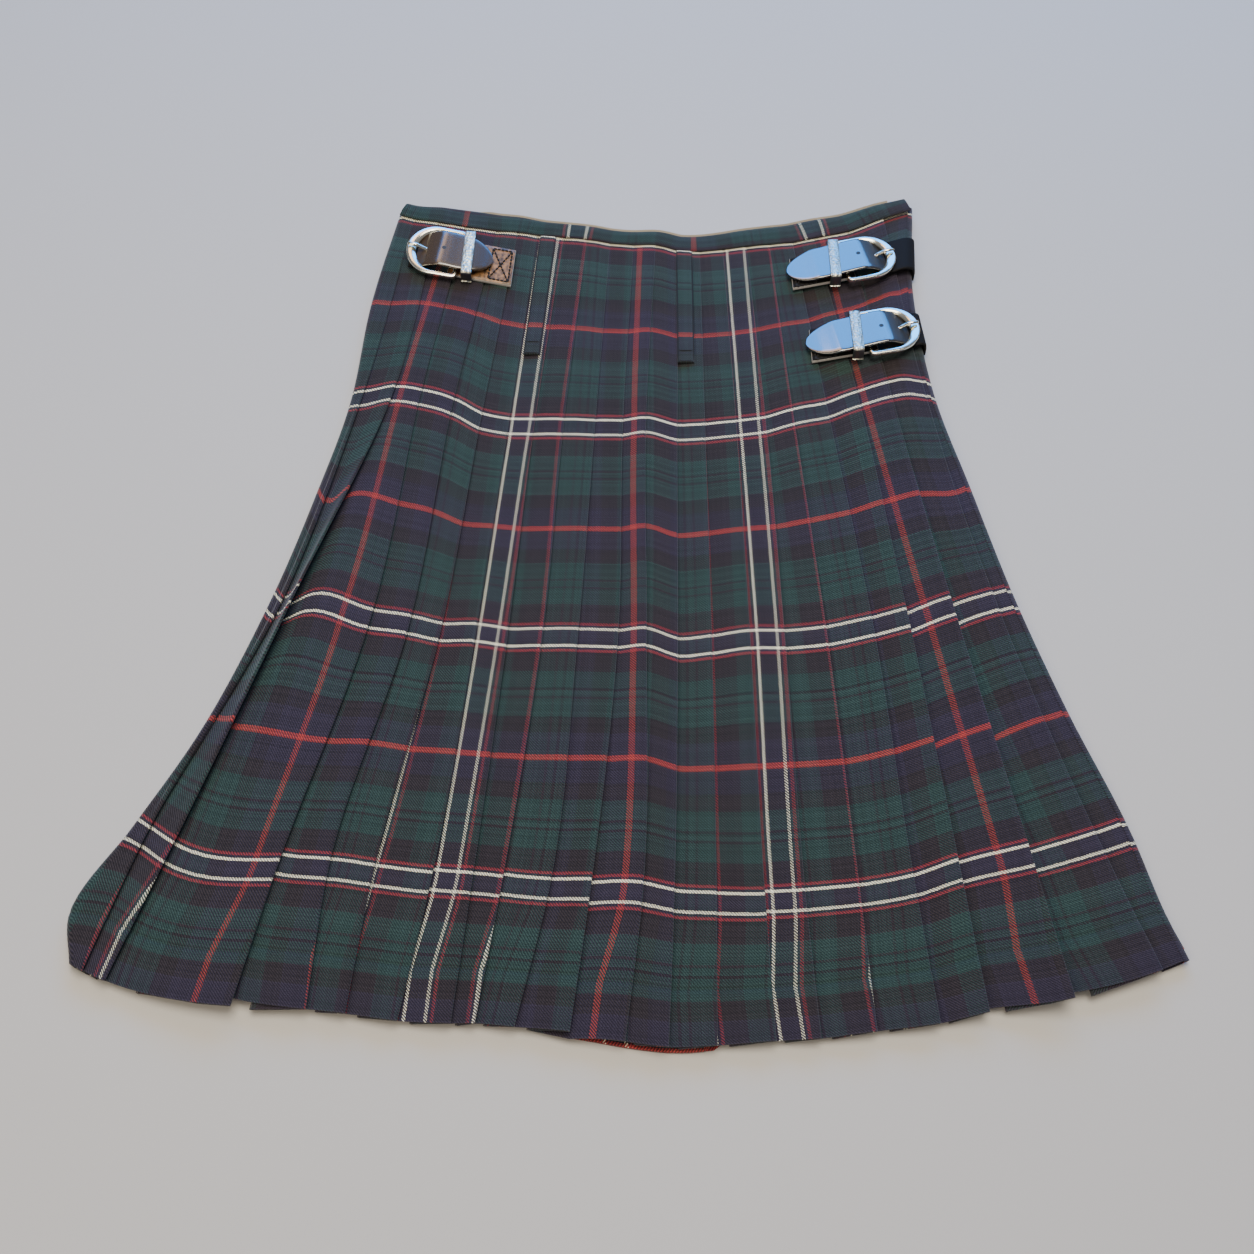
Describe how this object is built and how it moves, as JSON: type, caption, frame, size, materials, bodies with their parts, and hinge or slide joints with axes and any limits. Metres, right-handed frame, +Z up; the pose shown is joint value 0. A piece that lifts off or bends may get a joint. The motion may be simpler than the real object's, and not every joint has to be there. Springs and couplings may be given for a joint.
{
  "type": "scottish kilt",
  "caption": "Knife pleated wool tartan kilt laid flat with its back up, with leather straps, steel buckles and belt loops at the waist.",
  "frame": {"origin": "centre of the kilt's outline on the table it lies on, under the over apron", "axes": "+Z up out of the table towards the pleats, +Y from the hem to the waist, +X towards the side with two buckles"},
  "size_m": [0.6703, 0.6524, 0.0267],
  "materials": {
    "tartan": "matte worsted wool",
    "lining": "plain cotton",
    "leather": "polished black",
    "steel": "polished"
  },
  "bodies": {
    "root": {"pleated_back": "tartan", "over_apron": "tartan", "under_apron": "tartan", "waistband_back": "tartan", "waistband_over_apron": "tartan", "waistband_under_apron": "tartan", "lining_back": "lining", "belt_loop_left": "tartan", "belt_loop_right": "tartan", "tab_left": "leather", "buckle_left": "steel", "prong_left": "steel", "keeper_left": "steel", "strap_left": "leather", "tab_right_upper": "leather", "buckle_right_upper": "steel", "prong_right_upper": "steel", "keeper_right_upper": "steel", "strap_right_upper": "leather", "tab_right_lower": "leather", "buckle_right_lower": "steel", "prong_right_lower": "steel", "keeper_right_lower": "steel", "strap_right_lower": "leather"}
  },
  "joints": []
}
